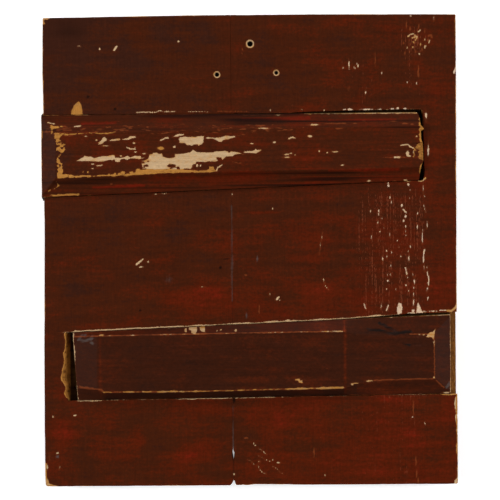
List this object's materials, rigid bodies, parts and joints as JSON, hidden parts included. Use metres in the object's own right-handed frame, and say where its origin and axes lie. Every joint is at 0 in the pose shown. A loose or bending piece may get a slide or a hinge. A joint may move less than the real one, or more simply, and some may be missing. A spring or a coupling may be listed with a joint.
{
  "type": "icon panel",
  "caption": "Old wooden icon panel lying face down: planks joined edge to edge, held flat by dovetailed battens let in across the painted back.",
  "frame": {"origin": "on the surface it lies on, under the middle of the board", "axes": "+Z from the painted front towards the back, up as it lies; +Y towards the panel's top edge; +X towards the right-hand edge seen from the back"},
  "size_m": [0.3139, 0.3561, 0.032],
  "materials": {
    "painted_board": "old dark red-brown oil paint over pale wood, satin, crackled and worn to pale wood at edges; gesso and paint on the hidden front",
    "painted_batten": "the same paint, darker and glossier, worn to golden and pale wood along the arrises"
  },
  "bodies": {
    "root": {"left_plank": "painted_board", "right_plank": "painted_board", "upper_batten": "painted_batten", "lower_batten": "painted_batten"}
  },
  "joints": []
}
